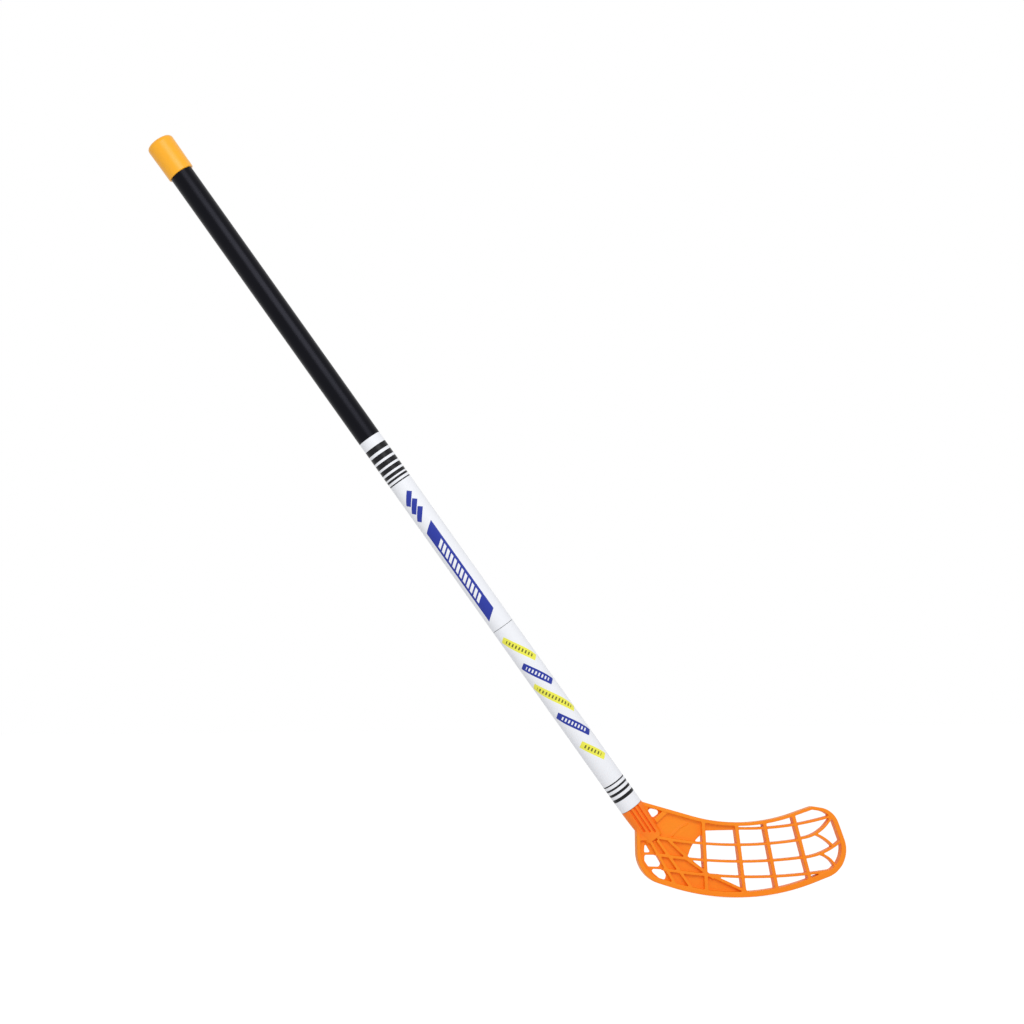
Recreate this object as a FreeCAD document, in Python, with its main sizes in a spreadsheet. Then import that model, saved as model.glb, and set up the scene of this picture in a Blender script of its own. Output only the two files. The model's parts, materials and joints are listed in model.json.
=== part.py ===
"""Floorball stick in playing posture: the blade's sole on the floor, the shaft leaning back over the heel.

The origin is on the shaft's axis, halfway along the grip. +Z is up, +X is the way the blade points, and
-Y is the side that the blade's outer face looks to. Sizes are in millimetres and degrees.
"""
import FreeCAD, Part
import math
import os
import Sketcher

Vector = FreeCAD.Vector
X_AXIS = Vector(1, 0, 0)
Y_AXIS = Vector(0, 1, 0)
Z_AXIS = Vector(0, 0, 1)

SIZES = {
    # Posture: the shaft's angle above the floor
    "lean_angle": 54.6,
    # Tube
    "tube_length": 950.0,
    "tube_outer_diameter": 27.0,
    "tube_wall": 2.0,
    # Slip-on end cap, with the tube's end against the bottom of its bore
    "cap_bore_depth": 40.0,
    "cap_end_thickness": 6.0,
    "cap_clearance": 0.08,
    "cap_rim_diameter": 32.2,
    "cap_crown_diameter": 33.2,
    "cap_rim_radius": 1.2,
    "cap_crown_radius": 5.0,
    "cap_to_grip_gap": 0.3,
    # Grip sleeve
    "grip_length": 380.0,
    "grip_thickness": 0.4,
    "grip_clearance": 0.05,
    "grip_edge_radius": 0.2,
    # Printed films, with a seam between the upper and the lower one
    "film_thickness": 0.3,
    "film_clearance": 0.03,
    "film_to_grip_gap": 0.3,
    "film_to_blade_gap": 0.4,
    "film_seam_gap": 0.6,
    "film_hole_clearance": 0.2,
    "upper_film_length": 269.0,
    # Blade neck: a stem that goes from round to flat, and a spigot inside the tube
    "spigot_length": 60.0,
    "spigot_clearance": 0.05,
    "spigot_lead": 2.0,
    "spigot_core_diameter": 10.0,
    "spigot_core_floor": 10.0,
    "stem_middle_station": 24.0,
    "stem_middle_width": 26.0,
    "stem_middle_depth": 19.0,
    "stem_end_station": 46.0,
    "stem_end_width": 22.0,
    "stem_end_depth": 13.0,
    "flute_width": 2.4,
    "flute_depth": 3.0,
    "flute_start": 0.5,
    "flute_first_length": 32.0,
    "flute_growth": 4.0,
    "flute_spacing": 5.1,
    "flute_shift": -0.3,
    # Blade screws, measured up from the tube's lower end
    "lower_screw_station": 14.0,
    "upper_screw_station": 38.0,
    "screw_diameter": 3.4,
    "screw_length": 9.0,
    "screw_tip_length": 2.5,
    "screw_tip_diameter": 0.6,
    "screw_head_diameter": 6.4,
    "screw_head_crown": 0.5,
    "screw_crown_diameter": 3.6,
    "screw_clearance": 0.05,
    "screw_recess_length": 3.4,
    "screw_recess_width": 0.9,
    "screw_recess_depth": 1.4,
    # Blade outline, from the centre of the tube's lower end: corner points and their rounding
    "heel_back_x": 4.8,
    "heel_back_top_z": -19.5,
    "heel_corner_z": -80.5,
    "heel_radius": 38.0,
    "sole_corner_x": 133.5,
    "sole_corner_z": -122.0,
    "sole_radius": 282.0,
    "toe_low_x": 273.5,
    "toe_low_z": -76.0,
    "toe_low_radius": 34.0,
    "toe_high_x": 249.2,
    "toe_high_z": -8.1,
    "toe_high_radius": 28.0,
    "toe_crest_x": 222.0,
    "toe_crest_z": -3.6,
    "toe_crest_radius": 10.0,
    "dip_corner_x": 134.8,
    "dip_corner_z": -30.2,
    "dip_radius": 216.0,
    "neck_front_x": 9.1,
    "neck_front_z": 6.7,
    # Blade sections. The rim's opening sits high in it and towards the heel, so the sole and the toe are
    # thicker than the top and the heel. The web lies behind the middle of the blade's depth.
    "rim_width": 5.2,
    "rim_opening_shift": -0.9,
    "rim_opening_lift": 1.3,
    "rim_depth": 12.0,
    "fine_rib_width": 2.8,
    "fine_rib_depth": 10.0,
    "brace_width": 3.4,
    "pad_width": 5.5,
    "web_thickness": 2.4,
    "web_setback": 0.8,
    # The blade is flat at the heel and bends back from here to the toe
    "hook_start_x": 60.0,
    "hook_radius": 2600.0,
    # Cross ribs fan out from a point above the blade. They are placed on one level below that point.
    "cross_rib_width": 4.3,
    "cross_rib_level_z": -60.0,
    "fan_x": 71.0,
    "fan_height": 550.0,
    # Web region: the band under the top rim, the mouth of the open grid, and the tail
    "web_band_x": 126.6,
    "web_band_z": -29.5,
    "web_mouth_x": 84.6,
    "web_mouth_top_z": -33.4,
    "web_mouth_back_x": 73.0,
    "web_mouth_back_z": -42.7,
    "web_mouth_radius": 40.0,
    "web_mouth_low_x": 67.0,
    "web_mouth_low_z": -59.2,
    "web_bend_x": 95.0,
    "web_bend_z": -81.0,
    "web_tail_x": 142.0,
    "web_tail_z": -101.5,
    # Low arc-shaped rib on the web, about a point inside the mouth
    "web_arc_centre_x": 82.0,
    "web_arc_centre_z": -60.5,
    "web_arc_radius": 42.4,
    "web_arc_width": 1.4,
    "web_arc_height": 1.2,
    "web_arc_first_angle": 200.0,
    "web_arc_last_angle": 233.0,
    # Rounding of the web's holes
    "neck_hole_radius": 3.0,
    "upper_window_radius": 1.2,
    "middle_window_radius": 2.0,
    "lower_window_radius": 2.0,
}

# Long ribs from the top one down: the lowest point and the radius of each arc, and where it begins, leaves
# the web and ends, from the centre of the tube's lower end. The top rib doesn't reach the web.
LONG_RIBS = [
    (148.0, -28.1, 397.0, 128.8, None, 257.0),
    (139.6, -46.8, 541.0, 4.3, 72.0, 206.0),
    (148.0, -66.3, 650.0, 27.0, 68.0, 212.0),
    (163.5, -84.6, 673.0, 36.0, 104.6, 268.0),
]
LONG_RIB_PLACES = ("lowest_x", "lowest_z", "radius", "first_x", "web_x", "last_x")
# Cross ribs from the neck to the toe: where each crosses the level that they are placed on
CROSS_RIBS = [86.6, 129.8, 167.6, 209.0]
FLUTE_COUNT = 3

# How much of an edge the roundings at its two ends may use up together
ROUNDING_SHARE = 0.98

# Straight ribs of the web, and the wider pads beside the neck hole and over the heel windows: start x and z,
# end x and z, from the centre of the tube's lower end. The corner pad fills the gap between stem and rim.
BRACES = {
    "window_brace": (15.6, -30.1, 53.0, -95.5),
    "heel_brace": (29.7, -38.7, 71.6, -97.6),
    "mouth_brace": (43.6, -39.5, 66.3, -60.7),
    "mouth_tail_brace": (61.2, -58.9, 97.0, -84.3),
    "tail_brace": (95.0, -81.6, 141.5, -103.3),
}
PADS = {
    "neck_corner_pad": (10.0, -1.6, 18.8, -1.6),
    "neck_hole_pad": (27.6, -16.8, 40.4, -5.8),
    "heel_pad": (8.0, -36.2, 17.0, -36.2),
}
STRUT_ENDS = ("start_x", "start_z", "end_x", "end_z")
# Arc-shaped ribs where the long ribs part at the toe: centre x and z, radius, first and last angle from
# straight below
FORKS = {
    "toe_fork_upper_rise": (203.6, 8.6, 49.6, 0.5, 64.0),
    "toe_fork_upper_fall": (205.1, -90.7, 57.9, 132.0, 160.5),
    "toe_fork_lower_rise": (204.4, 21.8, 85.5, 3.6, 43.0),
    "toe_fork_lower_fall": (224.2, -87.9, 28.5, 112.0, 169.0),
}
FORK_PLACES = ("centre_x", "centre_z", "radius", "first_angle", "last_angle")
# Holes in the web, three-cornered beside the neck and a row of windows at the heel: x and z of each corner
WEB_HOLES = {
    "neck_hole": [(16.2, -0.8), (36.5, -5.6), (25.4, -13.4)],
    "upper_window": [(15.2, -41.6), (21.9, -53.0), (14.6, -53.0)],
    "middle_window": [
        (14.8, -55.8), (28.4, -56.2), (33.7, -66.5), (31.6, -69.8), (19.2, -69.2), (14.8, -62.8),
    ],
    "lower_window": [
        (20.8, -71.8), (37.0, -73.2), (40.4, -79.9), (38.9, -85.1), (32.7, -83.3), (25.9, -77.6),
    ],
}

for number, places in enumerate(LONG_RIBS, 1):
    for place_name, place_value in zip(LONG_RIB_PLACES, places):
        if place_value is not None:
            SIZES[f"long_rib_{number}_{place_name}"] = place_value
for number, x in enumerate(CROSS_RIBS, 1):
    SIZES[f"cross_rib_{number}_x"] = x
for place_names, ribs in ((STRUT_ENDS, {**BRACES, **PADS}), (FORK_PLACES, FORKS)):
    for rib_name, places in ribs.items():
        for place_name, place_value in zip(place_names, places):
            SIZES[f"{rib_name}_{place_name}"] = place_value
for hole_name, corners in WEB_HOLES.items():
    for number, (x, z) in enumerate(corners, 1):
        SIZES[f"{hole_name}_corner_{number}_x"] = x
        SIZES[f"{hole_name}_corner_{number}_z"] = z

doc = FreeCAD.newDocument("floorball_stick")
sheet = doc.addObject("Spreadsheet::Sheet", "sizes")
for row, (alias, number) in enumerate(SIZES.items(), 1):
    sheet.set(f"A{row}", alias)
    sheet.set(f"B{row}", str(number))
    sheet.setAlias(f"B{row}", alias)
doc.recompute()


# Places that several pieces share, worked out from the sizes. Stations run up the shaft's axis.
TUBE_RADIUS = "sizes.tube_outer_diameter / 2"
BORE_RADIUS = "(sizes.tube_outer_diameter / 2 - sizes.tube_wall)"
FILM_RADIUS = "(sizes.tube_outer_diameter / 2 + sizes.film_clearance + sizes.film_thickness)"
SCREW_RADIUS = "(sizes.screw_diameter / 2)"
SCREW_HOLE_RADIUS = "(sizes.screw_diameter / 2 + sizes.screw_clearance)"
SCREW_HEAD_DEPTH = "((sizes.screw_head_diameter - sizes.screw_diameter) / 2)"
GRIP_TOP = "(sizes.grip_length / 2)"
CAP_RIM = f"({GRIP_TOP} + sizes.cap_to_grip_gap)"
TUBE_TOP = f"({CAP_RIM} + sizes.cap_bore_depth)"
TUBE_BOTTOM = f"({TUBE_TOP} - sizes.tube_length)"
UPPER_FILM_TOP = "(-sizes.grip_length / 2 - sizes.film_to_grip_gap)"
UPPER_FILM_BOTTOM = f"({UPPER_FILM_TOP} - sizes.upper_film_length)"
LOWER_FILM_TOP = f"({UPPER_FILM_BOTTOM} - sizes.film_seam_gap)"
LOWER_FILM_BOTTOM = f"({TUBE_BOTTOM} + sizes.film_to_blade_gap)"
SCREW_STATIONS = {
    "upper_blade_screw": f"({TUBE_BOTTOM} + sizes.upper_screw_station)",
    "lower_blade_screw": f"({TUBE_BOTTOM} + sizes.lower_screw_station)",
}
LEAN_TURN = "sizes.lean_angle - 90"
HOOK_REACH = "(max(sizes.toe_low_x; sizes.toe_high_x) - sizes.hook_start_x)"
BLOCK_DEPTH = f"(2 * ({HOOK_REACH} ^ 2 / sizes.hook_radius + sizes.rim_depth))"
BLADE_ROOF = f"(2 * {FILM_RADIUS})"


def value(expression):
    """The number that an expression of the sheet stands for."""
    return float(sheet.evalExpression(expression))


def bind(piece, **expressions):
    for name, expression in expressions.items():
        piece.setExpression(name, expression)


def place(piece, x="0", y="0", z="0", axis=Z_AXIS, angle="0"):
    """Put a piece at a point, turned about one axis."""
    piece.Placement = FreeCAD.Placement(Vector(), FreeCAD.Rotation(axis, 1))
    piece.setExpression("Placement.Rotation.Angle", angle)
    for letter, expression in zip("xyz", (x, y, z)):
        piece.setExpression(f"Placement.Base.{letter}", expression)
    return piece


def lean(piece):
    """Turn a piece made along Z onto the shaft's axis."""
    return place(piece, axis=Y_AXIS, angle=LEAN_TURN)


def along_shaft(piece, station, y, axis, angle):
    """Put a piece at a station of the shaft's axis, y behind it."""
    return place(piece, f"-cos(sizes.lean_angle) * {station}", y, f"sin(sizes.lean_angle) * {station}",
                 axis, angle)


def cylinder(name, radius, height, **where):
    piece = doc.addObject("Part::Cylinder", name)
    bind(piece, Radius=radius, Height=height)
    return place(piece, **where)


def cone(name, low_radius, high_radius, height, **where):
    piece = doc.addObject("Part::Cone", name)
    bind(piece, Radius1=low_radius, Radius2=high_radius, Height=height)
    return place(piece, **where)


def box(name, length, width, height, **where):
    piece = doc.addObject("Part::Box", name)
    bind(piece, Length=length, Width=width, Height=height)
    return place(piece, **where)


def cut(name, base, tool):
    piece = doc.addObject("Part::Cut", name)
    piece.Base = base
    piece.Tool = tool
    return piece


def common(name, base, tool):
    piece = doc.addObject("Part::Common", name)
    piece.Base = base
    piece.Tool = tool
    return piece


def fuse(name, pieces):
    piece = doc.addObject("Part::MultiFuse", name)
    piece.Shapes = pieces
    return piece


def pin(sketch, geometry, point, x, y):
    """Hold one point of a sketch at the place that two expressions give."""
    for kind, expression, axis in (("DistanceX", x, -2), ("DistanceY", y, -1)):
        if expression == "0":
            sketch.addConstraint(Sketcher.Constraint("PointOnObject", geometry, point, axis))
            continue
        index = sketch.addConstraint(Sketcher.Constraint(kind, -1, 1, geometry, point, value(expression)))
        sketch.setExpression(f"Constraints[{index}]", expression)


def corner_factors(points, radii):
    """How far each corner's rounding has to shrink so that neighbours fit on the edge between them."""
    count = len(points)
    reach = []
    for i in range(count):
        back = (points[i - 1] - points[i]).normalize()
        ahead = (points[(i + 1) % count] - points[i]).normalize()
        reach.append(radii[i] / math.tan(back.getAngle(ahead) / 2))
    factors = [1.0] * count
    for i in range(count):
        following = (i + 1) % count
        wanted = reach[i] + reach[following]
        room = ROUNDING_SHARE * points[i].distanceToPoint(points[following])
        if wanted > room:
            factors[i] = min(factors[i], room / wanted)
            factors[following] = min(factors[following], room / wanted)
    return factors


def draw_outline(sketch, corners):
    """Close lines through the corners (x, y, radius); a corner with a radius gets a tangent arc."""
    count = len(corners)
    points = [Vector(value(x), value(y), 0) for x, y, _ in corners]
    radii = [value(radius) if radius else 0.0 for _, _, radius in corners]
    factors = corner_factors(points, radii)
    arrive, leave, middle = [], [], []
    for i in range(count):
        back = (points[i - 1] - points[i]).normalize()
        ahead = (points[(i + 1) % count] - points[i]).normalize()
        half = back.getAngle(ahead) / 2
        radius = radii[i] * factors[i]
        arrive.append(points[i] + back * (radius / math.tan(half)))
        leave.append(points[i] + ahead * (radius / math.tan(half)))
        middle.append(points[i] + (back + ahead).normalize() * (radius / math.sin(half) - radius))
    lines = []
    for i in range(count):
        line = Part.LineSegment(leave[i], arrive[(i + 1) % count])
        lines.append(sketch.addGeometry(line, False))
    for i, (x, y, radius) in enumerate(corners):
        before = lines[i - 1]
        after = lines[i]
        if not radius:
            sketch.addConstraint(Sketcher.Constraint("Coincident", before, 2, after, 1))
            pin(sketch, after, 1, x, y)
            continue
        turns_left = (points[i] - points[i - 1]).cross(points[(i + 1) % count] - points[i]).z > 0
        first = 1 if turns_left else 2
        ends = (arrive[i], leave[i]) if turns_left else (leave[i], arrive[i])
        rounding = sketch.addGeometry(Part.Arc(ends[0], middle[i], ends[1]), False)
        corner = sketch.addGeometry(Part.Point(points[i]), True)
        pin(sketch, corner, 1, x, y)
        sketch.addConstraint(Sketcher.Constraint("Tangent", before, 2, rounding, first))
        sketch.addConstraint(Sketcher.Constraint("Tangent", rounding, 3 - first, after, 1))
        sketch.addConstraint(Sketcher.Constraint("PointOnObject", corner, 1, before))
        sketch.addConstraint(Sketcher.Constraint("PointOnObject", corner, 1, after))
        index = sketch.addConstraint(Sketcher.Constraint("Radius", rounding, radii[i] * factors[i]))
        limit = "" if factors[i] == 1.0 else f" * {factors[i]:.6f}"
        sketch.setExpression(f"Constraints[{index}]", radius + limit)


def body_sketch(body, name, plane):
    sketch = body.newObject("Sketcher::SketchObject", name)
    support = [feature for feature in body.Origin.OriginFeatures if feature.Role == plane][0]
    sketch.AttachmentSupport = (support, [""])
    sketch.MapMode = "FlatFace"
    return sketch


def turned_body(name, profile):
    """A body of revolution about Z from a profile of corners (radius, height, rounding)."""
    body = doc.addObject("PartDesign::Body", name)
    sketch = body_sketch(body, f"{name}_profile", "XZ_Plane")
    draw_outline(sketch, profile)
    turn = body.newObject("PartDesign::Revolution", f"{name}_turn")
    turn.Profile = sketch
    turn.ReferenceAxis = (sketch, ["V_Axis"])
    turn.Angle = 360
    return body


def make_end_cap():
    bore = f"({TUBE_RADIUS} + sizes.cap_clearance)"
    top = f"({TUBE_TOP} + sizes.cap_end_thickness)"
    return lean(turned_body("end_cap", [
        (bore, CAP_RIM, None),
        ("sizes.cap_rim_diameter / 2", CAP_RIM, "sizes.cap_rim_radius"),
        ("sizes.cap_crown_diameter / 2", top, "sizes.cap_crown_radius"),
        ("0", top, None),
        ("0", TUBE_TOP, None),
        (bore, TUBE_TOP, None),
    ]))


def make_grip_sleeve():
    inside = f"({TUBE_RADIUS} + sizes.grip_clearance)"
    outside = f"({inside} + sizes.grip_thickness)"
    low = f"-{GRIP_TOP}"
    return lean(turned_body("grip_sleeve", [
        (inside, low, None),
        (outside, low, "sizes.grip_edge_radius"),
        (outside, GRIP_TOP, None),
        (inside, GRIP_TOP, None),
    ]))


def make_shaft_tube():
    """The tube, with two countersunk screw holes at the back of its lower end."""
    wall = cylinder("tube_outside", TUBE_RADIUS, "sizes.tube_length", z=TUBE_BOTTOM)
    tools = [cylinder("tube_bore", BORE_RADIUS, "sizes.tube_length", z=TUBE_BOTTOM)]
    for screw, station in SCREW_STATIONS.items():
        tools.append(cylinder(f"{screw}_hole", SCREW_HOLE_RADIUS, TUBE_RADIUS, z=station,
                              axis=X_AXIS, angle="-90"))
        sink_depth = f"({SCREW_HEAD_DEPTH} + sizes.screw_clearance)"
        tools.append(cone(f"{screw}_sink", SCREW_HOLE_RADIUS, f"{SCREW_HOLE_RADIUS} + {sink_depth}",
                          sink_depth, y=f"{TUBE_RADIUS} - {SCREW_HEAD_DEPTH}", z=station,
                          axis=X_AXIS, angle="-90"))
    return lean(cut("shaft_tube", wall, fuse("tube_cuts", tools)))


def make_film(name, bottom, top, screw_holes):
    length = f"({top} - {bottom})"
    skin = cylinder(f"{name}_outside", FILM_RADIUS, length, z=bottom)
    tools = [cylinder(f"{name}_bore", f"{TUBE_RADIUS} + sizes.film_clearance", length, z=bottom)]
    hole_radius = "sizes.screw_head_diameter / 2 + sizes.film_hole_clearance"
    for screw in screw_holes:
        tools.append(cylinder(f"{name}_{screw}_hole", hole_radius, f"{FILM_RADIUS} * 2",
                              z=SCREW_STATIONS[screw], axis=X_AXIS, angle="-90"))
    tool = tools[0] if len(tools) == 1 else fuse(f"{name}_cuts", tools)
    return lean(cut(name, skin, tool))


def make_blade_screw(name):
    """A countersunk self-tapping screw with a cross recess, its head's rim level with the tube."""
    tip = "(-sizes.screw_length)"
    body = turned_body(name, [
        ("0", "sizes.screw_head_crown", None),
        ("sizes.screw_crown_diameter / 2", "sizes.screw_head_crown", None),
        ("sizes.screw_head_diameter / 2", "0", None),
        (SCREW_RADIUS, f"-{SCREW_HEAD_DEPTH}", None),
        (SCREW_RADIUS, f"{tip} + sizes.screw_tip_length", None),
        ("sizes.screw_tip_diameter / 2", tip, None),
        ("0", tip, None),
    ])
    doc.recompute()
    uncut = body.Shape.Volume
    half_long = "(sizes.screw_recess_length / 2)"
    half_wide = "(sizes.screw_recess_width / 2)"
    recess = body_sketch(body, f"{name}_recess", "XY_Plane")
    draw_outline(recess, [
        (half_long, f"-{half_wide}", None), (half_long, half_wide, None),
        (half_wide, half_wide, None), (half_wide, half_long, None),
        (f"-{half_wide}", half_long, None), (f"-{half_wide}", half_wide, None),
        (f"-{half_long}", half_wide, None), (f"-{half_long}", f"-{half_wide}", None),
        (f"-{half_wide}", f"-{half_wide}", None), (f"-{half_wide}", f"-{half_long}", None),
        (half_wide, f"-{half_long}", None), (half_wide, f"-{half_wide}", None),
    ])
    recess.AttachmentOffset = FreeCAD.Placement(Vector(0, 0, 1), FreeCAD.Rotation())
    recess.setExpression("AttachmentOffset.Base.z", "sizes.screw_head_crown")
    pocket = body.newObject("PartDesign::Pocket", f"{name}_pocket")
    pocket.Profile = recess
    pocket.setExpression("Length", "sizes.screw_recess_depth")
    doc.recompute()
    if body.Shape.Volume >= uncut:
        raise RuntimeError(f"the recess of {name} cuts nothing")
    return along_shaft(body, SCREW_STATIONS[name], TUBE_RADIUS, X_AXIS, "-90")


def upright_sketch(name, corners):
    """A closed outline in the blade's own plane, x along the blade and y up."""
    sketch = doc.addObject("Sketcher::SketchObject", name)
    sketch.Placement = FreeCAD.Placement(Vector(), FreeCAD.Rotation(X_AXIS, 90))
    draw_outline(sketch, corners)
    return sketch


def block(name, outline):
    """Carry an outline through the whole depth that the hooked blade takes up."""
    piece = doc.addObject("Part::Extrusion", name)
    piece.Base = outline
    piece.DirMode = "Custom"
    piece.Dir = Y_AXIS
    piece.Solid = True
    piece.Symmetric = True
    bind(piece, LengthFwd=BLOCK_DEPTH)
    return piece


def inset(name, outline, distance):
    piece = doc.addObject("Part::Offset2D", name)
    piece.Source = outline
    piece.Join = "Tangent"
    bind(piece, Value=f"-({distance})")
    return piece


def hook_slab(name, thickness, setback="0"):
    """A slab of even thickness, flat at the heel, that bends back towards +Y from hook_start_x on.

    It lies about the middle of the blade's depth, or set back from it.
    """
    height = f"({BLADE_ROOF} - sizes.sole_corner_z)"
    flat = box(f"{name}_flat", f"sizes.hook_start_x + {BLADE_ROOF}", thickness, height,
               x=f"-{BLADE_ROOF}", y=f"{setback} - ({thickness}) / 2", z="sizes.sole_corner_z")
    centre = {"x": "sizes.hook_start_x", "y": "sizes.hook_radius", "z": "sizes.sole_corner_z"}
    radius = f"(sizes.hook_radius - {setback})"
    outside = cylinder(f"{name}_outside", f"{radius} + {thickness} / 2", height, angle="-90", **centre)
    bind(outside, Angle=f"asin({HOOK_REACH} / {radius})")
    inside = cylinder(f"{name}_inside", f"{radius} - {thickness} / 2", height, **centre)
    return fuse(name, [flat, cut(f"{name}_bend", outside, inside)])


def bar(name, x, z, rise, length, width):
    """A straight rib from a point in the blade's plane, at an angle above +X."""
    return box(name, length, BLOCK_DEPTH, width, x=f"{x} + sin({rise}) * {width} / 2",
               y=f"-{BLOCK_DEPTH} / 2", z=f"{z} - cos({rise}) * {width} / 2", axis=Y_AXIS, angle=f"-({rise})")


def strut(name, width):
    """A straight rib between the two ends that the sheet gives."""
    start_x, start_z, end_x, end_z = (f"sizes.{name}_{end}" for end in STRUT_ENDS)
    run = f"({end_x} - {start_x})"
    climb = f"({end_z} - {start_z})"
    return bar(name, start_x, start_z, f"atan2({climb}; {run})", f"hypot({run}; {climb})", width)


def cross_rib(number):
    """One rib of the fan, from the height of the tube's end to below the sole."""
    level_x = f"sizes.cross_rib_{number}_x"
    slant = f"(({level_x} - sizes.fan_x) / sizes.fan_height)"
    start_x = f"({level_x} + {slant} * sizes.cross_rib_level_z)"
    length = f"(-sizes.sole_corner_z / cos(atan({slant})))"
    return bar(f"cross_rib_{number}", start_x, "0", f"(atan({slant}) - 90 deg)", length,
               "sizes.cross_rib_width")


def arc_rib(name, centre, radius, first_angle, last_angle, width):
    """An arc-shaped rib: a sector between two angles from straight below, less the disc inside it."""
    outside = cylinder(f"{name}_outside", f"{radius} + {width} / 2", BLOCK_DEPTH,
                       angle=f"{first_angle} - 90 deg")
    bind(outside, Angle=f"{last_angle} - {first_angle}")
    inside = cylinder(f"{name}_inside", f"{radius} - {width} / 2", BLOCK_DEPTH)
    x, z = centre
    return place(cut(name, outside, inside), x, f"{BLOCK_DEPTH} / 2", z, X_AXIS, "90")


def toe_fork(name):
    """One arc of the forks at the toe, at the places that the sheet gives."""
    x, z, radius, first_angle, last_angle = (f"sizes.{name}_{place_name}" for place_name in FORK_PLACES)
    return arc_rib(name, (x, z), radius, f"{first_angle} * 1 deg", f"{last_angle} * 1 deg",
                   "sizes.fine_rib_width")


def long_rib(number, part_of_rib, end, width):
    """One long rib, counted from the top of the blade, from its beginning to one of its places."""
    rib = f"sizes.long_rib_{number}"
    centre = (f"{rib}_lowest_x", f"({rib}_lowest_z + {rib}_radius)")
    angles = [f"asin(({rib}_{place_name} - {rib}_lowest_x) / {rib}_radius)"
              for place_name in ("first_x", end)]
    return arc_rib(f"long_rib_{number}_{part_of_rib}", centre, f"{rib}_radius", *angles, width)


def blade_outline(name, shift, lift):
    """The blade's outer edge, moved along and up by two expressions."""
    corners = [
        ("sizes.heel_back_x", "sizes.heel_back_top_z", None),
        ("sizes.heel_back_x", "sizes.heel_corner_z", "sizes.heel_radius"),
        ("sizes.sole_corner_x", "sizes.sole_corner_z", "sizes.sole_radius"),
        ("sizes.toe_low_x", "sizes.toe_low_z", "sizes.toe_low_radius"),
        ("sizes.toe_high_x", "sizes.toe_high_z", "sizes.toe_high_radius"),
        ("sizes.toe_crest_x", "sizes.toe_crest_z", "sizes.toe_crest_radius"),
        ("sizes.dip_corner_x", "sizes.dip_corner_z", "sizes.dip_radius"),
        ("sizes.neck_front_x", "sizes.neck_front_z", None),
    ]
    return upright_sketch(name, [(f"({x} + {shift})", f"({z} + {lift})", radius) for x, z, radius in corners])


def make_blade_frame():
    """The rim and the cross ribs, at the blade's full depth, and the space inside the rim."""
    outline = blade_outline("blade_outline", "0", "0")
    moved_outline = blade_outline("moved_outline", "sizes.rim_opening_shift", "sizes.rim_opening_lift")
    inner_edge = inset("rim_inner_edge", moved_outline, "sizes.rim_width")
    rim_middle = inset("rim_middle", outline, "sizes.rim_width / 2")
    rim = cut("rim", block("blade_plate", outline), block("rim_opening", inner_edge))
    field = block("blade_field", rim_middle)
    fan = fuse("cross_ribs", [cross_rib(number) for number, _ in enumerate(CROSS_RIBS, 1)])
    grid = fuse("rim_and_cross_ribs", [rim, common("cross_ribs_in_rim", fan, field)])
    return common("blade_frame", grid, hook_slab("rim_slab", "sizes.rim_depth")), field


def make_fine_ribs(field):
    """The long ribs, the toe forks and the web's braces and pads, a little shallower than the rim."""
    ribs = []
    for number, _ in enumerate(LONG_RIBS, 1):
        ribs.append(long_rib(number, "fine", "last_x", "sizes.fine_rib_width"))
        if f"long_rib_{number}_web_x" in SIZES:
            ribs.append(long_rib(number, "brace", "web_x", "sizes.brace_width"))
    ribs += [toe_fork(name) for name in FORKS]
    ribs += [strut(name, "sizes.brace_width") for name in BRACES]
    ribs += [strut(name, "sizes.pad_width") for name in PADS]
    inside = common("fine_ribs_in_rim", fuse("fine_rib_set", ribs), field)
    return common("fine_ribs", inside, hook_slab("fine_rib_slab", "sizes.fine_rib_depth"))


def make_web(field):
    """The thin web between the neck, the heel and the mouth of the open grid."""
    far_left = f"-{BLADE_ROOF}"
    region = upright_sketch("web_region", [
        (far_left, BLADE_ROOF, None),
        ("sizes.web_band_x", BLADE_ROOF, None),
        ("sizes.web_band_x", "sizes.web_band_z", None),
        ("sizes.web_mouth_x", "sizes.web_band_z", None),
        ("sizes.web_mouth_x", "sizes.web_mouth_top_z", None),
        ("sizes.web_mouth_back_x", "sizes.web_mouth_back_z", "sizes.web_mouth_radius"),
        ("sizes.web_mouth_low_x", "sizes.web_mouth_low_z", None),
        ("sizes.web_bend_x", "sizes.web_bend_z", None),
        ("sizes.web_tail_x", "sizes.web_tail_z", None),
        ("sizes.web_tail_x", "sizes.sole_corner_z", None),
        (far_left, "sizes.sole_corner_z", None),
    ])
    holes = []
    for hole, corners in WEB_HOLES.items():
        outline = upright_sketch(hole, [
            (f"sizes.{hole}_corner_{number}_x", f"sizes.{hole}_corner_{number}_z", f"sizes.{hole}_radius")
            for number, _ in enumerate(corners, 1)
        ])
        holes.append(block(f"{hole}_block", outline))
    pierced = cut("web_with_holes", block("web_block", region), fuse("web_holes", holes))
    web_slab = hook_slab("web_slab", "sizes.web_thickness", "sizes.web_setback")
    plain = common("plain_web", common("web_in_rim", pierced, field), web_slab)
    arc = arc_rib("web_arc", ("sizes.web_arc_centre_x", "sizes.web_arc_centre_z"), "sizes.web_arc_radius",
                  "sizes.web_arc_first_angle * 1 deg", "sizes.web_arc_last_angle * 1 deg",
                  "sizes.web_arc_width")
    arc_depth = "(sizes.web_thickness + 2 * sizes.web_arc_height)"
    arc_slab = hook_slab("web_arc_slab", arc_depth, "sizes.web_setback")
    return fuse("web", [plain, common("web_arc_rib", arc, arc_slab)])


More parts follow.
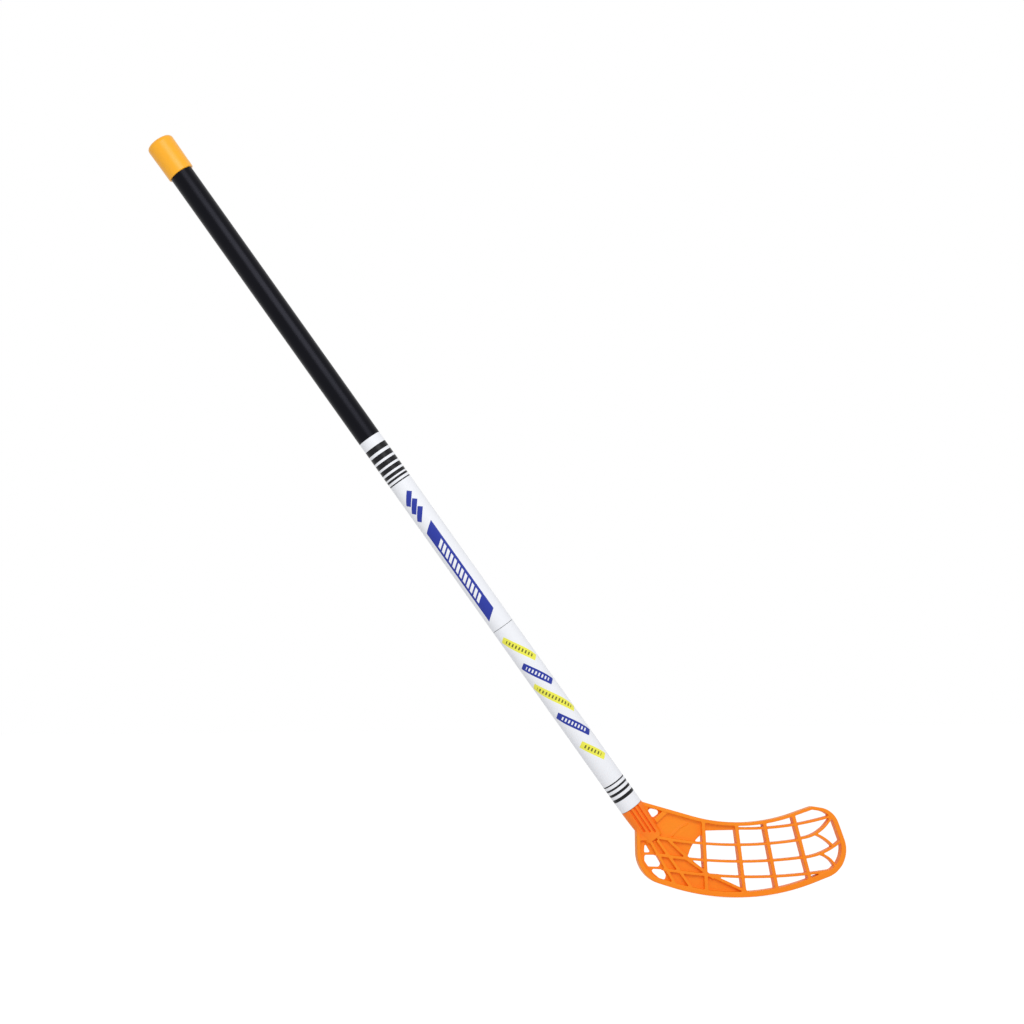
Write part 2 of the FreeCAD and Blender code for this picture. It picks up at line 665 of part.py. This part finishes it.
def make_neck():
    """The stem, from round under the tube to flat in the web, and the spigot inside the tube."""
    top = doc.addObject("Part::Circle", "stem_top")
    bind(top, Radius=FILM_RADIUS)
    sections = [place(top)]
    for part_of_stem in ("middle", "end"):
        section = doc.addObject("Part::Ellipse", f"stem_{part_of_stem}")
        bind(section, MajorRadius=f"sizes.stem_{part_of_stem}_width / 2",
             MinorRadius=f"sizes.stem_{part_of_stem}_depth / 2")
        sections.append(place(section, z=f"-sizes.stem_{part_of_stem}_station"))
    stem = doc.addObject("Part::Loft", "stem")
    stem.Sections = sections
    stem.Solid = True
    radius = f"({BORE_RADIUS} - sizes.spigot_clearance)"
    straight = "(sizes.spigot_length - sizes.spigot_lead)"
    spigot = cylinder("spigot", radius, straight)
    lead = cone("spigot_lead", radius, f"{radius} - sizes.spigot_lead", "sizes.spigot_lead", z=straight)
    return lean(fuse("neck", [stem, spigot, lead]))


def make_neck_cuts():
    """The flutes on both faces of the stem, the spigot's core and the screws' pilot holes.

    A flute is a slot down the stem's slope, as deep below the surface as its tool reaches above it.
    """
    slope = f"atan(({FILM_RADIUS} - sizes.stem_middle_depth / 2) / sizes.stem_middle_station)"
    cuts = [cylinder("spigot_core", "sizes.spigot_core_diameter / 2",
                     "sizes.spigot_length + sizes.spigot_core_floor", z="-sizes.spigot_core_floor")]
    for number in range(FLUTE_COUNT):
        across = f"({number - (FLUTE_COUNT - 1) / 2} * sizes.flute_spacing + sizes.flute_shift)"
        surface = f"sqrt({FILM_RADIUS} ^ 2 - {across} ^ 2)"
        length = f"sizes.flute_first_length + {number} * sizes.flute_growth"
        for face, side in (("front", -1), ("back", 1)):
            cuts.append(box(f"flute_{face}_{number + 1}",
                            "sizes.flute_width", "2 * sizes.flute_depth", length,
                            x=f"{across} - sizes.flute_width / 2",
                            y=f"{side} * {surface} + sizes.flute_depth * cos({slope})",
                            z=f"-sizes.flute_start - {side} * sizes.flute_depth * sin({slope})",
                            axis=X_AXIS, angle=f"180 deg - {side} * {slope}"))
    for screw in SCREW_STATIONS:
        cuts.append(cylinder(f"{screw}_pilot", SCREW_HOLE_RADIUS, BORE_RADIUS,
                             z=f"{SCREW_STATIONS[screw]} - {TUBE_BOTTOM}", axis=X_AXIS, angle="-90"))
    return lean(fuse("neck_cuts", cuts))


def make_blade():
    frame, field = make_blade_frame()
    solid = fuse("blade_solid", [frame, make_fine_ribs(field), make_web(field), make_neck()])
    return along_shaft(cut("blade", solid, make_neck_cuts()), TUBE_BOTTOM, "0", Z_AXIS, "0")


SUB_PARTS = [
    make_end_cap(),
    make_grip_sleeve(),
    make_shaft_tube(),
    make_film("upper_print_film", UPPER_FILM_BOTTOM, UPPER_FILM_TOP, []),
    make_film("lower_print_film", LOWER_FILM_BOTTOM, LOWER_FILM_TOP, list(SCREW_STATIONS)),
    make_blade(),
    make_blade_screw("upper_blade_screw"),
    make_blade_screw("lower_blade_screw"),
]
doc.recompute()

failed = [piece.Name for piece in doc.Objects if {"Invalid", "Error"} & set(piece.State)]
if failed:
    raise RuntimeError(f"these objects failed: {failed}")
for piece in SUB_PARTS:
    if piece.Shape.isNull() or not piece.Shape.isValid() or len(piece.Shape.Solids) != 1:
        raise RuntimeError(f"{piece.Label} is not one valid solid")

os.makedirs("parts", exist_ok=True)
for piece in SUB_PARTS:
    piece.Shape.exportStep(f"parts/{piece.Label}.step")
    print(piece.Label, "volume", round(piece.Shape.Volume, 1), "mm3")
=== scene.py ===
"""Looks of the floorball stick: surfaces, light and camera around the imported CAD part.

The frame is the CAD one: the origin halfway along the grip, +Z up and +X the way the blade points. The camera
is on the -Y side, a little way round the shaft towards the heel, so it sees the ribs' heel-side walls.
Lengths are in metres, and in millimetres inside the materials.
"""
import json
import math
from collections import namedtuple

import bpy
from mathutils import Matrix, Vector


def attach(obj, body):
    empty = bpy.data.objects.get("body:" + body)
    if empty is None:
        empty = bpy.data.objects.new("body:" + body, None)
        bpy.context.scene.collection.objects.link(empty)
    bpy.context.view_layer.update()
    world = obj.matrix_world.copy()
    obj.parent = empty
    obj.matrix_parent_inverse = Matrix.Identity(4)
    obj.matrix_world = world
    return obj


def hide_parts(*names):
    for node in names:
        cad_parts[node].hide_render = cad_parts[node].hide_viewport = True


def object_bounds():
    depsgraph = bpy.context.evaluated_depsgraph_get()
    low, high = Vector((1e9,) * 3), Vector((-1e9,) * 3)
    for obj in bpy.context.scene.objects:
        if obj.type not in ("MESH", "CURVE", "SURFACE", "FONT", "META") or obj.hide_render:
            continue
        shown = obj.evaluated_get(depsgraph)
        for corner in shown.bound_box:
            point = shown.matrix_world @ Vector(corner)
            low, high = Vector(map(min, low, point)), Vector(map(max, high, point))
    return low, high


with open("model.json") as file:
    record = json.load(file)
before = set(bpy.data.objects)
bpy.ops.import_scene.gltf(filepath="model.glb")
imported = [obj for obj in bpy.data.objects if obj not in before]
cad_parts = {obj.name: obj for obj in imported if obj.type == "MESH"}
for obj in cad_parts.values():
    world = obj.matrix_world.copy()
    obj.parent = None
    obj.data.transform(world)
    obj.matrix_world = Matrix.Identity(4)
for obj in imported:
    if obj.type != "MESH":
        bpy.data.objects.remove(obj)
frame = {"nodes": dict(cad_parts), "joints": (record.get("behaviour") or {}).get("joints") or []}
cad_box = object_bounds()
nodes = frame["nodes"]

MM = 0.001

# The cap slides off along the shaft, so its joint has the shaft's direction
UP_SHAFT = Vector(frame["joints"][0]["axis"]).normalized()
ACROSS_SHAFT = Vector((UP_SHAFT.z, 0.0, -UP_SHAFT.x))

# The picture: how many metres a pixel covers at the stick's plane, and the pixel that the origin falls on
PICTURE_PIXELS = 1024
METRES_PER_PIXEL = 1.172 * MM
ORIGIN_PIXEL = (275.5, 306.2)
CAMERA_DISTANCE = 2.0
SENSOR_WIDTH = 36.0

# How far the camera stands round the shaft from straight in front of the blade. The print is turned round the
# shaft by as much: the way that its middle faces, and the way to its right.
CAMERA_TURN = math.radians(12)
TO_VIEW = Matrix.Rotation(-CAMERA_TURN, 4, UP_SHAFT)
PRINT_MIDDLE = TO_VIEW @ Vector((0, -1, 0))
PRINT_RIGHT = TO_VIEW @ ACROSS_SHAFT

# Light at a plain level: what the sky gives, and what the key light adds on a surface that faces it. The
# key's direction is in picture terms: right, up and towards the camera.
SKY_LEVEL = 0.63
KEY_LEVEL = 0.43
KEY_DIRECTION = Vector((0.16, 0.52, 0.84))
KEY_DISTANCE = 2.4
KEY_ACROSS_SHAFT = 2.2
KEY_ALONG_SHAFT = 0.8

# White floor: half its width, its own colour, and how bright and how large the even share of its white is
FLOOR_HALF = 30.0
FLOOR_WHITE = (0.93, 0.93, 0.93, 1.0)
FLOOR_GLOW = 1.15
FLOOR_GLOW_SHARE = 0.8

# Blade moulding: points nearer than the weld become one, then the voxel size of its skin, how its edges are
# smoothed round, and the share of its faces that is kept
BLADE_WELD = 0.001 * MM
BLADE_VOXEL = 0.55 * MM
BLADE_SMOOTH_FACTOR = 0.5
BLADE_SMOOTH_STEPS = 3
BLADE_FACE_SHARE = 0.3

# Colours, as linear red, green and blue
ORANGE = (0.98, 0.29, 0.011)
ORANGE_DEEP = (0.95, 0.24, 0.008)
# Painted shade: the deeper, redder orange of the stem's sloped faces
STEM_SHADE_ORANGE = (0.98, 0.21, 0.012)
AMBER = (0.98, 0.46, 0.020)
AMBER_DEEP = (0.96, 0.41, 0.015)
GRIP_BLACK = (0.0010, 0.0010, 0.0016)
GRIP_GREY = (0.0020, 0.0020, 0.0028)
GRIP_SHEEN = (0.78, 0.79, 1.0)
FILM_WHITE = (0.86, 0.875, 0.92)
FILM_SHADE = (0.8471, 0.8619, 0.9062)
INK_BLACK = (0.006, 0.006, 0.008)
INK_BLUE = (0.024, 0.042, 0.34)
INK_YELLOW = (0.86, 0.84, 0.09)
INK_OLIVE = (0.17, 0.16, 0.03)
FIBRE_DARK = (0.022, 0.022, 0.024)
FIBRE_LIGHT = (0.060, 0.060, 0.064)
# Painted shade and painted dim reflection: zinc darker than its own colour, as on recessed screw heads
ZINC_PAINTED_SHADE = (0.42, 0.42, 0.43)
PURE_WHITE = (1.0, 1.0, 1.0, 1.0)

# How much small detail a noise has
SOFT_DETAIL = 1.0
PLAIN_DETAIL = 2.0
FINE_DETAIL = 3.0

# Size of the soft clouds in each colour
BLADE_CLOUD = 38.0
CAP_CLOUD = 24.0
GRIP_CLOUD = 26.0
FILM_CLOUD = 30.0

# Finish of a material: size, detail and depth of its grain, size of the patches in which its roughness
# drifts, the two ends of that drift, and its specular level
Finish = namedtuple("Finish", "grain detail depth patch roughness specular")
BLADE_FINISH = Finish(0.7, FINE_DETAIL, 0.02, 14.0, (0.36, 0.48), 0.22)
CAP_FINISH = Finish(0.9, FINE_DETAIL, 0.02, 11.0, (0.26, 0.34), 0.36)
GRIP_FINISH = Finish(0.55, PLAIN_DETAIL, 0.02, 16.0, (0.27, 0.33), 0.13)
FILM_FINISH = Finish(3.5, SOFT_DETAIL, 0.015, 9.0, (0.24, 0.34), 0.2)

# Woven tube: width and slant of its tows, roughness of those below and above, and size, share and depth of
# the threads in them
FIBRE_PITCH = 3.2
FIBRE_ANGLE = math.radians(45)
FIBRE_ROUGHNESS = (0.26, 0.36)
THREAD_SIZE = 0.35
THREAD_SHARE = 0.5
THREAD_DEPTH = 0.02

# Zinc plating: size and depth of its brush marks, and the roughness between them and on them
BRUSH_SIZE = 0.5
BRUSH_DEPTH = 0.01
ZINC_ROUGHNESS = (0.28, 0.42)

# Painted shade on the thick stem: a deeper, redder orange than the blade's stands in for the shade on its
# sloped faces. Where it ends down the shaft and across it, and how far before that its colour fades
STEM_SHADE_END = 770.0
STEM_SHADE_END_FADE = 18.0
STEM_SHADE_SIDE = 14.5
STEM_SHADE_SIDE_FADE = 2.5

# Graduated stripes below the grip: place down the shaft and thickness
TOP_STRIPES = [
    (205.7, 7.2), (216.2, 6.5), (225.5, 6.1), (233.9, 5.3), (241.3, 4.1), (246.8, 2.7), (251.9, 1.5),
]
# Small slanted bars below the stripes: places down the shaft, length and width, place round it and slant
SMALL_BARS = [275.0, 286.0, 297.0]
SMALL_BAR_SIZE = (19.0, 6.2)
SMALL_BAR_ROUND = -3.0
SMALL_BAR_ANGLE = math.radians(-40)
# Long plate: place, size, slant of its ends, and the strokes that hatch its middle
PLATE_DOWN = 378.0
PLATE_ROUND = -3.2
PLATE_LENGTH = 126.0
PLATE_WIDTH = 14.5
PLATE_SLANT = 0.72
PLATE_HATCH_LENGTH = 84.0
PLATE_HATCH_WIDTH = 8.5
HATCH_STEP = 7.0
HATCH_SHARE = 0.62

# Slanted bars of the lower film: inks of the bar and of its strokes, place down the shaft and round it, and
# length
LOWER_BARS = [
    (INK_YELLOW, INK_OLIVE, 492.0, 1.0, 45.0),
    (INK_BLUE, FILM_WHITE, 528.0, 1.5, 40.0),
    (INK_YELLOW, INK_OLIVE, 562.0, 1.5, 56.0),
    (INK_BLUE, FILM_WHITE, 600.0, 2.0, 44.0),
    (INK_YELLOW, INK_OLIVE, 638.0, 2.5, 32.0),
]
LOWER_BAR_WIDTH = 9.0
LOWER_BAR_ANGLE = math.radians(30)
# Row of short strokes along the middle of each bar
STROKE_LENGTH = 4.0
STROKE_STEP = 4.2
STROKE_SHARE = 0.45
STROKE_MARGIN = 5.0
# Graduated stripes above the blade: place down the shaft and thickness
LOW_STRIPES = [(683.3, 1.6), (689.0, 2.4), (695.4, 3.2), (702.8, 4.0)]


class Surface:
    """A node material with a Principled shader, and short ways to wire its fields."""

    def __init__(self, name):
        self.material = bpy.data.materials.new(name)
        self.material.use_nodes = True
        self.tree = self.material.node_tree
        self.shader = self.tree.nodes["Principled BSDF"]
        place = self.add("ShaderNodeTexCoord").outputs["Object"]
        scaled = self.add("ShaderNodeVectorMath", operation="SCALE")
        self.tree.links.new(place, scaled.inputs[0])
        scaled.inputs["Scale"].default_value = 1 / MM
        self.place_mm = scaled.outputs[0]

    def add(self, kind, **settings):
        """Add a node of a kind, with its settings."""
        node = self.tree.nodes.new(kind)
        for name, setting in settings.items():
            setattr(node, name, setting)
        return node

    def feed(self, socket, value):
        """Wire a field into a socket, or set the socket to a number or colour."""
        if isinstance(value, bpy.types.NodeSocket):
            self.tree.links.new(value, socket)
        elif isinstance(value, tuple):
            socket.default_value = (*value, 1.0)
        else:
            socket.default_value = value

    def finish(self, **values):
        """Set the shader's own sockets, named with underscores for spaces."""
        for name, value in values.items():
            self.feed(self.shader.inputs[name.replace("_", " ")], value)
        return self.material

    def math(self, operation, *values):
        """Work out one sum with fields or numbers."""
        node = self.add("ShaderNodeMath", operation=operation)
        for socket, value in zip(node.inputs, values):
            self.feed(socket, value)
        return node.outputs[0]

    def along(self, direction):
        """How far a point lies along a direction, in millimetres."""
        node = self.add("ShaderNodeVectorMath", operation="DOT_PRODUCT")
        self.tree.links.new(self.place_mm, node.inputs[0])
        node.inputs[1].default_value = direction
        return node.outputs["Value"]

    def noise(self, size, detail=PLAIN_DETAIL):
        """Noise from 0 to 1, with grains of a size in millimetres."""
        node = self.add("ShaderNodeTexNoise")
        self.tree.links.new(self.place_mm, node.inputs["Vector"])
        node.inputs["Scale"].default_value = 1 / size
        node.inputs["Detail"].default_value = detail
        return node.outputs[0]

    def remap(self, field, low, high):
        """Bring a field from 0 to 1 into another range."""
        return self.math("MULTIPLY_ADD", field, high - low, low)

    def mix(self, share, first, second):
        """Go from the first colour to the second as the share goes from 0 to 1."""
        node = self.add("ShaderNodeMix", data_type="RGBA")
        self.feed(node.inputs["Factor"], share)
        colours = [socket for socket in node.inputs if socket.type == "RGBA"]
        self.feed(colours[0], first)
        self.feed(colours[1], second)
        return [socket for socket in node.outputs if socket.type == "RGBA"][0]

    def bump(self, height, depth):
        """Raise the surface by a field from 0 to 1 times a depth in millimetres."""
        node = self.add("ShaderNodeBump")
        node.inputs["Strength"].default_value = 1.0
        node.inputs["Distance"].default_value = depth * MM
        self.tree.links.new(height, node.inputs["Height"])
        return node.outputs[0]


def finished(surface, colour, finish, **more):
    """The material of a surface with a colour: its roughness drifts in patches, and it has a fine grain."""
    roughness = surface.remap(surface.noise(finish.patch), *finish.roughness)
    grain = surface.bump(surface.noise(finish.grain, finish.detail), finish.depth)
    return surface.finish(Base_Color=colour, Roughness=roughness, Specular_IOR_Level=finish.specular,
                          Normal=grain, **more)


def around_shaft(surface):
    """Where a point lies: down the shaft from the origin, and round it from the print's middle."""
    across = surface.along(PRINT_RIGHT)
    forward = surface.along(PRINT_MIDDLE)
    radius = surface.math("SQRT", surface.math("ADD", surface.math("POWER", across, 2.0),
                                               surface.math("POWER", forward, 2.0)))
    turn = surface.math("ARCTAN2", across, forward)
    return surface.along(-UP_SHAFT), surface.math("MULTIPLY", turn, radius)


def within(surface, field, centre, width):
    """How far a field is inside a band about a centre: negative inside."""
    offset = surface.math("ABSOLUTE", surface.math("SUBTRACT", field, centre))
    return surface.math("SUBTRACT", offset, width / 2)


def strokes(surface, field, step, share):
    """Bands that repeat at a step along a field, each about the middle of its step and a share of it wide."""
    phase = surface.math("FRACT", surface.math("DIVIDE", field, step))
    return within(surface, phase, 0.5, share)


def printed(surface, base, ink, distance):
    """Lay an ink wherever a distance field is negative."""
    return surface.mix(surface.math("LESS_THAN", distance, 0.0), base, ink)


def slanted(surface, down, around, angle):
    """Axes turned by an angle: the place along a slanted bar, the place across it, and the angle."""
    cosine = math.cos(angle)
    sine = math.sin(angle)
    along = surface.math("ADD", surface.math("MULTIPLY", down, cosine),
                         surface.math("MULTIPLY", around, sine))
    across = surface.math("SUBTRACT", surface.math("MULTIPLY", around, cosine),
                          surface.math("MULTIPLY", down, sine))
    return along, across, angle


def bar(surface, axes, centre, length, width):
    """A straight bar in slanted axes, about a centre given down and round the shaft."""
    along, across, angle = axes
    down, around = centre
    middle_along = down * math.cos(angle) + around * math.sin(angle)
    middle_across = around * math.cos(angle) - down * math.sin(angle)
    return surface.math("MAXIMUM", within(surface, along, middle_along, length),
                        within(surface, across, middle_across, width))


def film_ground(surface):
    """The film's own faintly clouded white, which the print lies on."""
    return surface.mix(surface.noise(FILM_CLOUD), FILM_WHITE, FILM_SHADE)


def make_upper_film():
    """White film with stripes, small bars and a hatched plate."""
    surface = Surface("upper_film_print")
    down, around = around_shaft(surface)
    colour = film_ground(surface)
    for centre, thickness in TOP_STRIPES:
        colour = printed(surface, colour, INK_BLACK, within(surface, down, centre, thickness))
    axes = slanted(surface, down, around, SMALL_BAR_ANGLE)
    for place in SMALL_BARS:
        small_bar = bar(surface, axes, (place, SMALL_BAR_ROUND), *SMALL_BAR_SIZE)
        colour = printed(surface, colour, INK_BLUE, small_bar)
    sideways = surface.math("SUBTRACT", around, PLATE_ROUND)
    sheared = surface.math("MULTIPLY_ADD", sideways, PLATE_SLANT, down)
    plate = surface.math("MAXIMUM", within(surface, sheared, PLATE_DOWN, PLATE_LENGTH),
                         within(surface, around, PLATE_ROUND, PLATE_WIDTH))
    colour = printed(surface, colour, INK_BLUE, plate)
    panel = surface.math("MAXIMUM", within(surface, sheared, PLATE_DOWN, PLATE_HATCH_LENGTH),
                         within(surface, around, PLATE_ROUND, PLATE_HATCH_WIDTH))
    hatch = surface.math("MAXIMUM", panel, strokes(surface, sheared, HATCH_STEP, HATCH_SHARE))
    colour = printed(surface, colour, FILM_WHITE, hatch)
    return finished(surface, colour, FILM_FINISH)


def make_lower_film():
    """White film with slanted bars that hold rows of strokes, and stripes above the blade."""
    surface = Surface("lower_film_print")
    down, around = around_shaft(surface)
    colour = film_ground(surface)
    axes = slanted(surface, down, around, LOWER_BAR_ANGLE)
    stroke = strokes(surface, axes[0], STROKE_STEP, STROKE_SHARE)
    for ink, stroke_ink, place, side, length in LOWER_BARS:
        centre = (place, side)
        colour = printed(surface, colour, ink, bar(surface, axes, centre, length, LOWER_BAR_WIDTH))
        row = bar(surface, axes, centre, length - 2 * STROKE_MARGIN, STROKE_LENGTH)
        colour = printed(surface, colour, stroke_ink, surface.math("MAXIMUM", row, stroke))
    for centre, thickness in LOW_STRIPES:
        colour = printed(surface, colour, INK_BLACK, within(surface, down, centre, thickness))
    return finished(surface, colour, FILM_FINISH)


def make_blade_surface():
    """Orange moulding, with painted shade on the thick neck: a deeper, redder orange there."""
    surface = Surface("moulded_orange")
    plain = surface.mix(surface.noise(BLADE_CLOUD, FINE_DETAIL), ORANGE, ORANGE_DEEP)
    down = surface.along(-UP_SHAFT)
    across = surface.math("ABSOLUTE", surface.along(ACROSS_SHAFT))
    before_end = surface.math("DIVIDE", surface.math("SUBTRACT", STEM_SHADE_END, down), STEM_SHADE_END_FADE)
    inside = surface.math("DIVIDE", surface.math("SUBTRACT", STEM_SHADE_SIDE, across), STEM_SHADE_SIDE_FADE)
    # Painted shade: where the stem's deeper, redder orange lies
    stem_shade = surface.math("MINIMUM", before_end, inside)
    return finished(surface, surface.mix(stem_shade, plain, STEM_SHADE_ORANGE), BLADE_FINISH)


def make_cap_surface():
    """Amber moulding."""
    surface = Surface("moulded_amber")
    colour = surface.mix(surface.noise(CAP_CLOUD, FINE_DETAIL), AMBER, AMBER_DEEP)
    return finished(surface, colour, CAP_FINISH)


def make_grip_surface():
    """Black sleeve with a bluish sheen."""
    surface = Surface("grip_black")
    colour = surface.mix(surface.noise(GRIP_CLOUD, FINE_DETAIL), GRIP_BLACK, GRIP_GREY)
    return finished(surface, colour, GRIP_FINISH, Specular_Tint=GRIP_SHEEN)


def make_tube_surface():
    """Woven fibre composite: two sets of tows at right angles, over and under in turn."""
    surface = Surface("fibre_composite")
    first, second, _ = slanted(surface, *around_shaft(surface), FIBRE_ANGLE)
    cells = [surface.math("FLOOR", surface.math("DIVIDE", field, FIBRE_PITCH)) for field in (first, second)]
    over = surface.math("FLOORED_MODULO", surface.math("ADD", *cells), 2.0)
    threads = surface.noise(THREAD_SIZE)
    shade = surface.mix(over, FIBRE_DARK, FIBRE_LIGHT)
    colour = surface.mix(surface.remap(threads, 0.0, THREAD_SHARE), shade, FIBRE_DARK)
    return surface.finish(Base_Color=colour, Roughness=surface.remap(over, *FIBRE_ROUGHNESS),
                          Normal=surface.bump(threads, THREAD_DEPTH))


def make_zinc_surface():
    """Dull zinc plating on the screws, with painted shade and a painted dim reflection: its colour is darker
    than zinc's own.
    """
    surface = Surface("zinc_steel")
    brushed = surface.noise(BRUSH_SIZE, FINE_DETAIL)
    return surface.finish(Base_Color=ZINC_PAINTED_SHADE, Metallic=1.0, Roughness=surface.remap(brushed, *ZINC_ROUGHNESS),
                          Normal=surface.bump(brushed, BRUSH_DEPTH))


def dress(node, material):
    """Give a CAD node its surface."""
    mesh = nodes[node].data
    mesh.materials.clear()
    mesh.materials.append(material)


def make_blade(material):
    """The blade with its edges rounded as a moulding has them: a voxel skin of the CAD solid, smoothed."""
    piece = bpy.data.objects.new("blade_moulding", nodes["blade"].data.copy())
    bpy.context.collection.objects.link(piece)
    weld = piece.modifiers.new("weld", "WELD")
    weld.merge_threshold = BLADE_WELD
    remesh = piece.modifiers.new("skin", "REMESH")
    remesh.mode = "VOXEL"
    remesh.voxel_size = BLADE_VOXEL
    smooth = piece.modifiers.new("round", "SMOOTH")
    smooth.factor = BLADE_SMOOTH_FACTOR
    smooth.iterations = BLADE_SMOOTH_STEPS
    thin = piece.modifiers.new("thin", "DECIMATE")
    thin.ratio = BLADE_FACE_SHARE
    shape = piece.evaluated_get(bpy.context.evaluated_depsgraph_get())
    piece.data = bpy.data.meshes.new_from_object(shape)
    piece.modifiers.clear()
    piece.data.materials.clear()
    piece.data.materials.append(material)
    piece.data.shade_smooth()
    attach(piece, "stick")
    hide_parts("blade")


def picture_point(pixel_x, pixel_y):
    """The point of the stick's plane that a pixel shows."""
    return Vector(((pixel_x - ORIGIN_PIXEL[0]) * METRES_PER_PIXEL, 0.0,
                   (ORIGIN_PIXEL[1] - pixel_y) * METRES_PER_PIXEL))


def make_camera(middle):
    """The camera: square in front of the stick's plane, then carried round the shaft."""
    lens = bpy.data.cameras.new("camera")
    lens.sensor_width = SENSOR_WIDTH
    lens.lens = SENSOR_WIDTH * CAMERA_DISTANCE / (PICTURE_PIXELS * METRES_PER_PIXEL)
    camera = bpy.data.objects.new("camera", lens)
    standing = Matrix.Translation(middle - Vector((0, CAMERA_DISTANCE, 0)))
    level = Matrix.Rotation(math.pi / 2, 4, "X")
    camera.matrix_world = TO_VIEW @ standing @ level
    bpy.context.collection.objects.link(camera)
    bpy.context.scene.camera = camera


def seen_share(tree):
    """1 for a ray that shows the background: from the camera, a reflection or clear material."""
    path = tree.nodes.new("ShaderNodeLightPath")
    total = path.outputs["Is Camera Ray"]
    for name in ("Is Glossy Ray", "Is Transmission Ray"):
        node = tree.nodes.new("ShaderNodeMath")
        node.operation = "MAXIMUM"
        tree.links.new(total, node.inputs[0])
        tree.links.new(path.outputs[name], node.inputs[1])
        total = node.outputs[0]
    return total


def make_sky():
    """Even light from all round, which shows as plain white."""
    world = bpy.data.worlds.new("studio")
    bpy.context.scene.world = world
    world.use_nodes = True
    tree = world.node_tree
    level = tree.nodes.new("ShaderNodeMapRange")
    tree.links.new(seen_share(tree), level.inputs["Value"])
    level.inputs["To Min"].default_value = SKY_LEVEL
    level.inputs["To Max"].default_value = 1.0
    sky = tree.nodes["Background"]
    sky.inputs["Color"].default_value = PURE_WHITE
    tree.links.new(level.outputs["Result"], sky.inputs["Strength"])


def make_key(middle):
    """One large soft light, in front of the stick and above it, wide across the shaft."""
    lamp = bpy.data.lights.new("key", "AREA")
    lamp.shape = "ELLIPSE"
    lamp.size = KEY_ACROSS_SHAFT
    lamp.size_y = KEY_ALONG_SHAFT
    # At this power a white surface that faces the lamp shows the key's level
    lamp.energy = KEY_LEVEL * (math.pi * KEY_DISTANCE) ** 2
    right, up, forward = KEY_DIRECTION.normalized()
    towards = TO_VIEW @ Vector((right, -forward, up))
    across = UP_SHAFT.cross(towards).normalized()
    turned = Matrix((across, towards.cross(across), towards)).transposed().to_4x4()
    key = bpy.data.objects.new("key", lamp)
    key.matrix_world = Matrix.Translation(TO_VIEW @ middle + towards * KEY_DISTANCE) @ turned
    bpy.context.collection.objects.link(key)


def make_floor():
    """A plain white floor under the sole. Part of what it shows is even white, so its shadow is faint."""
    level = cad_box[0][2]
    corners = [(x * FLOOR_HALF, y * FLOOR_HALF, level) for x, y in ((-1, -1), (1, -1), (1, 1), (-1, 1))]
    mesh = bpy.data.meshes.new("floor")
    mesh.from_pydata(corners, [], [(0, 1, 2, 3)])
    material = bpy.data.materials.new("floor_white")
    material.use_nodes = True
    tree = material.node_tree
    tree.nodes.clear()
    paint = tree.nodes.new("ShaderNodeBsdfDiffuse")
    paint.inputs["Color"].default_value = FLOOR_WHITE
    glow = tree.nodes.new("ShaderNodeEmission")
    glow.inputs["Color"].default_value = PURE_WHITE
    glow.inputs["Strength"].default_value = FLOOR_GLOW
    share = tree.nodes.new("ShaderNodeMath")
    share.operation = "MULTIPLY"
    share.inputs[1].default_value = FLOOR_GLOW_SHARE
    tree.links.new(seen_share(tree), share.inputs[0])
    blend = tree.nodes.new("ShaderNodeMixShader")
    tree.links.new(share.outputs[0], blend.inputs[0])
    tree.links.new(paint.outputs[0], blend.inputs[1])
    tree.links.new(glow.outputs[0], blend.inputs[2])
    output = tree.nodes.new("ShaderNodeOutputMaterial")
    tree.links.new(blend.outputs[0], output.inputs["Surface"])
    mesh.materials.append(material)
    floor = bpy.data.objects.new("floor", mesh)
    bpy.context.collection.objects.link(floor)


bpy.context.scene.view_settings.view_transform = "Standard"
picture_middle = picture_point(PICTURE_PIXELS / 2, PICTURE_PIXELS / 2)
make_camera(picture_middle)
make_sky()
make_key(picture_middle)
make_floor()

dress("end_cap", make_cap_surface())
dress("grip_sleeve", make_grip_surface())
dress("shaft_tube", make_tube_surface())
dress("upper_print_film", make_upper_film())
dress("lower_print_film", make_lower_film())
zinc = make_zinc_surface()
dress("upper_blade_screw", zinc)
dress("lower_blade_screw", zinc)
make_blade(make_blade_surface())
